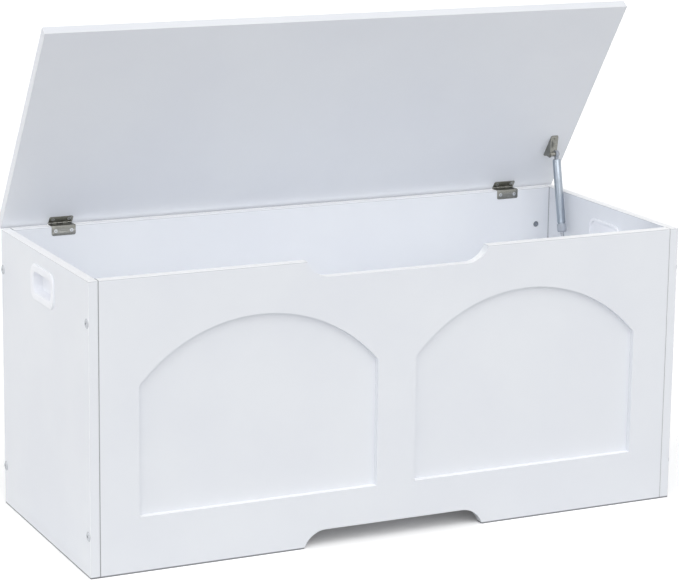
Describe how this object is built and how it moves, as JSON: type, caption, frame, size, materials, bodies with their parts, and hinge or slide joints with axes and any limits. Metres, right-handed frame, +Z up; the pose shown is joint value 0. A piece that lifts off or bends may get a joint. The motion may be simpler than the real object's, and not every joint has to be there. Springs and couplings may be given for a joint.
{
  "type": "toy box",
  "caption": "White toy box with an arched panel front, a back-hinged lid held open by a strut, recessed hand holds, a finger notch and a toe-kick.",
  "frame": {"origin": "on the floor, under the middle of the part's width and of its depth with the lid open", "axes": "+X to the right along the front, +Y from the front to the back, +Z up"},
  "size_m": [1.005, 0.4165, 0.7935],
  "materials": {
    "white_board": "white satin laminate on engineered board",
    "handle_plastic": "moulded white, semi-gloss",
    "zinc_fastener": "zinc plated",
    "dowel_wood": "plain fluted beech",
    "hinge_steel": "nickel plated pressed steel",
    "strut_grey": "light grey satin paint",
    "strut_plastic": "moulded light grey",
    "rod_steel": "polished steel"
  },
  "bodies": {
    "box": {"front_panel": "white_board", "back_panel": "white_board", "bottom_panel": "white_board", "left_side_panel": "white_board", "right_side_panel": "white_board", "left_handle_cup": "handle_plastic", "right_handle_cup": "handle_plastic", "left_handle_ring": "handle_plastic", "right_handle_ring": "handle_plastic", "left_side_bolts": "zinc_fastener", "right_side_bolts": "zinc_fastener", "front_barrel_nuts": "zinc_fastener", "back_barrel_nuts": "zinc_fastener", "front_dowels": "dowel_wood", "back_dowels": "dowel_wood", "left_hinge_box_leaf": "hinge_steel", "left_hinge_pin": "hinge_steel", "right_hinge_box_leaf": "hinge_steel", "right_hinge_pin": "hinge_steel", "hinge_box_screws": "hinge_steel", "strut_foot_plate": "hinge_steel", "strut_foot_screws": "hinge_steel"},
    "lid": {"lid": "white_board", "left_hinge_lid_leaf": "hinge_steel", "right_hinge_lid_leaf": "hinge_steel", "hinge_lid_screws": "hinge_steel", "strut_lid_bracket": "hinge_steel", "strut_lid_screws": "hinge_steel", "strut_lid_pin": "hinge_steel"},
    "strut_barrel": {"strut_tube": "strut_grey", "strut_top_eye": "strut_plastic", "strut_collar": "strut_plastic"},
    "strut_rod": {"strut_rod": "rod_steel", "strut_piston": "rod_steel", "strut_rod_end": "strut_plastic", "strut_foot_stud": "hinge_steel"}
  },
  "joints": [
    {"name": "lid_hinge", "type": "hinge", "parent": "box", "child": "lid", "pos_m": [0, 0.19394, 0.452], "axis": [-1, 0, 0], "range_deg": [-56.23, 0]},
    {"name": "strut_swing", "type": "hinge", "parent": "lid", "child": "strut_barrel", "pos_m": [0.471, 0.13374, 0.51549], "axis": [-1, 0, 0], "range_deg": [0, 53.06]},
    {"name": "strut_slide", "type": "slide", "parent": "strut_barrel", "child": "strut_rod", "axis": [0, -0.2079, -0.9782], "range_m": [-0.08174, 0]}
  ],
  "couplings": [
    {"joint": "strut_swing", "follows": "lid_hinge", "ratio": -0.94278},
    {"joint": "strut_slide", "follows": "lid_hinge", "m_per_rad": 0.083234}
  ]
}
